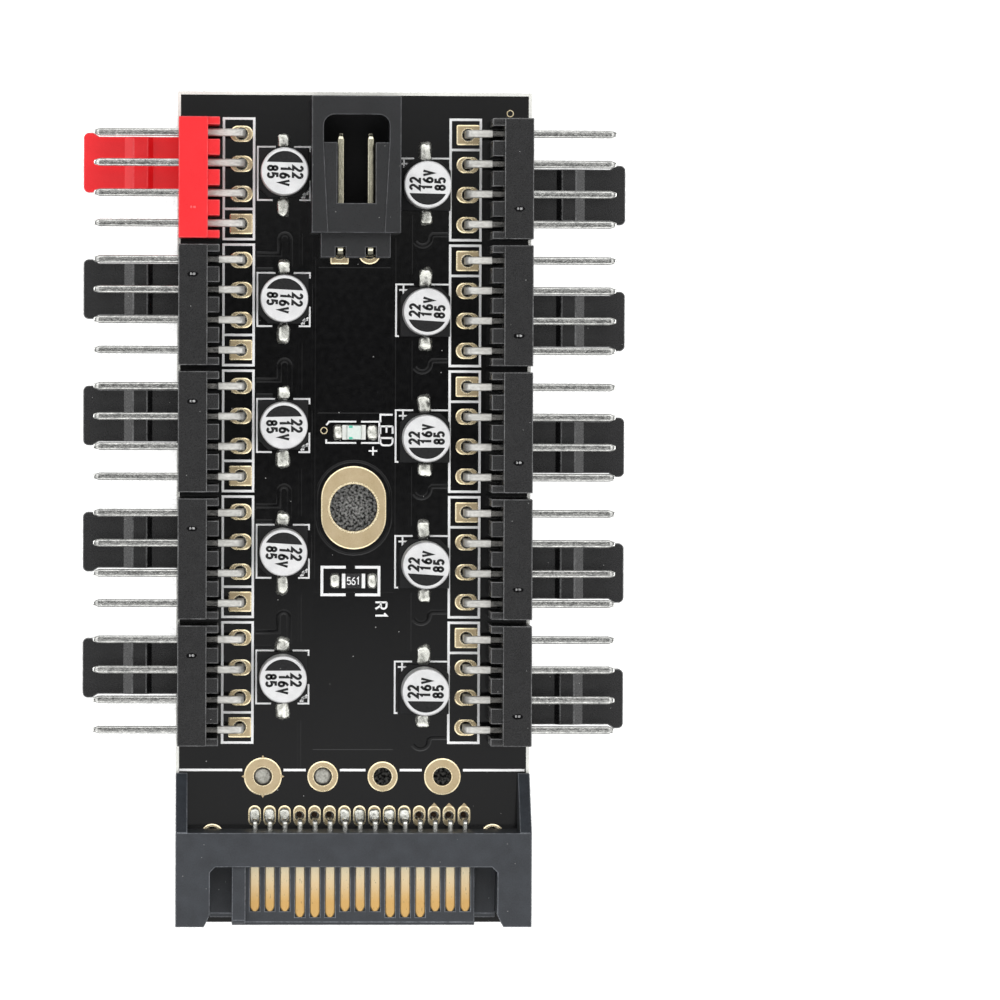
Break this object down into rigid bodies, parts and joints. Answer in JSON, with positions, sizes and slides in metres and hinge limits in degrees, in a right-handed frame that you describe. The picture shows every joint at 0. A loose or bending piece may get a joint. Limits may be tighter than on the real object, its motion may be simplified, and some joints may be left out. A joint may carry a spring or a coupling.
{
  "type": "pc fan controller hub",
  "caption": "Small black circuit board that splits one power inlet and speed signal to rows of keyed fan headers along both long edges, with a central mounting hole.",
  "frame": {"origin": "centre of the mounting hole at the board's underside", "axes": "+Z out of the component side, +Y along the board to the control header, +X to the right-hand fan headers"},
  "size_m": [0.0458, 0.0704, 0.0089],
  "materials": {
    "board": "satin black solder mask over glass-fibre laminate",
    "red_nylon": "semi-gloss red moulding",
    "black_nylon": "satin black moulding",
    "tinned_pin": "bright tin plate",
    "gold_pin": "thin gold plate",
    "can": "satin drawn aluminium with a printed top",
    "cap_base": "matt black moulding",
    "plug_plastic": "matt grey-black glass-filled moulding",
    "chip_carrier": "white substrate",
    "lens": "clear to milky epoxy",
    "resistor": "black glaze over white ceramic",
    "tinned_end": "tinned"
  },
  "bodies": {
    "root": {"pcb": "board", "fan_header_1": "red_nylon", "fan_header_2": "black_nylon", "fan_header_3": "black_nylon", "fan_header_4": "black_nylon", "fan_header_5": "black_nylon", "fan_header_6": "black_nylon", "fan_header_7": "black_nylon", "fan_header_8": "black_nylon", "fan_header_9": "black_nylon", "fan_header_10": "black_nylon", "fan_pins_1": "tinned_pin", "fan_pins_2": "tinned_pin", "fan_pins_3": "tinned_pin", "fan_pins_4": "tinned_pin", "fan_pins_5": "tinned_pin", "fan_pins_6": "tinned_pin", "fan_pins_7": "tinned_pin", "fan_pins_8": "tinned_pin", "fan_pins_9": "tinned_pin", "fan_pins_10": "tinned_pin", "capacitor_can_1": "can", "capacitor_can_2": "can", "capacitor_can_3": "can", "capacitor_can_4": "can", "capacitor_can_5": "can", "capacitor_can_6": "can", "capacitor_can_7": "can", "capacitor_can_8": "can", "capacitor_can_9": "can", "capacitor_can_10": "can", "capacitor_base_1": "cap_base", "capacitor_base_2": "cap_base", "capacitor_base_3": "cap_base", "capacitor_base_4": "cap_base", "capacitor_base_5": "cap_base", "capacitor_base_6": "cap_base", "capacitor_base_7": "cap_base", "capacitor_base_8": "cap_base", "capacitor_base_9": "cap_base", "capacitor_base_10": "cap_base", "capacitor_terminals": "tinned_pin", "control_header": "black_nylon", "control_pins": "gold_pin", "power_plug": "plug_plastic", "plug_contacts": "gold_pin", "led_carrier": "chip_carrier", "led_lens": "lens", "resistor_body": "resistor", "resistor_caps": "tinned_end"}
  },
  "joints": []
}
